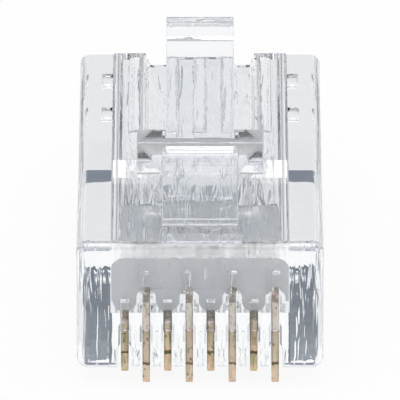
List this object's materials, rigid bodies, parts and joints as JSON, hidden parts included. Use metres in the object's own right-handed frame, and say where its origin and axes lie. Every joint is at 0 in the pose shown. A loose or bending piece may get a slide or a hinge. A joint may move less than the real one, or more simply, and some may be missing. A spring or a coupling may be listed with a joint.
{
  "type": "rj45 modular plug",
  "caption": "Clear eight-way modular plug with a sprung latch tab, load bar, piercing contacts and jacket clamp, before crimping.",
  "frame": {"origin": "middle of the bounding box's base, at the level of the long contacts' tips", "axes": "+X across the plug, the nose faces -Y and the cable entry +Y, +Z towards the latch"},
  "size_m": [0.0116, 0.0218, 0.0119],
  "materials": {
    "clear_plastic": "polished clear polycarbonate",
    "milky_plastic": "milky translucent",
    "gold_plate": "gold-plated phosphor bronze"
  },
  "bodies": {
    "shell": {"housing": "clear_plastic", "wire_manager": "milky_plastic"},
    "latch": {"latch_lever": "clear_plastic"},
    "clamp": {"jacket_clamp": "clear_plastic"},
    "contact_1": {"contact_1": "gold_plate"},
    "contact_2": {"contact_2": "gold_plate"},
    "contact_3": {"contact_3": "gold_plate"},
    "contact_4": {"contact_4": "gold_plate"},
    "contact_5": {"contact_5": "gold_plate"},
    "contact_6": {"contact_6": "gold_plate"},
    "contact_7": {"contact_7": "gold_plate"},
    "contact_8": {"contact_8": "gold_plate"}
  },
  "joints": [
    {"name": "latch_flex", "type": "hinge", "parent": "shell", "child": "latch", "pos_m": [0, -0.00865, 0.00762], "axis": [1, 0, 0], "range_deg": [-11, 0], "stiffness_Nm_per_rad": 0.1},
    {"name": "clamp_swing", "type": "hinge", "parent": "shell", "child": "clamp", "pos_m": [0, 0.0039, 0.00057], "axis": [1, 0, 0], "range_deg": [0, 20]},
    {"name": "contact_1_press", "type": "slide", "parent": "shell", "child": "contact_1", "axis": [0, 0, 1], "range_m": [0, 0.00097]},
    {"name": "contact_2_press", "type": "slide", "parent": "shell", "child": "contact_2", "axis": [0, 0, 1], "range_m": [0, 0.00155]},
    {"name": "contact_3_press", "type": "slide", "parent": "shell", "child": "contact_3", "axis": [0, 0, 1], "range_m": [0, 0.00097]},
    {"name": "contact_4_press", "type": "slide", "parent": "shell", "child": "contact_4", "axis": [0, 0, 1], "range_m": [0, 0.00155]},
    {"name": "contact_5_press", "type": "slide", "parent": "shell", "child": "contact_5", "axis": [0, 0, 1], "range_m": [0, 0.00097]},
    {"name": "contact_6_press", "type": "slide", "parent": "shell", "child": "contact_6", "axis": [0, 0, 1], "range_m": [0, 0.00155]},
    {"name": "contact_7_press", "type": "slide", "parent": "shell", "child": "contact_7", "axis": [0, 0, 1], "range_m": [0, 0.00097]},
    {"name": "contact_8_press", "type": "slide", "parent": "shell", "child": "contact_8", "axis": [0, 0, 1], "range_m": [0, 0.00155]}
  ]
}
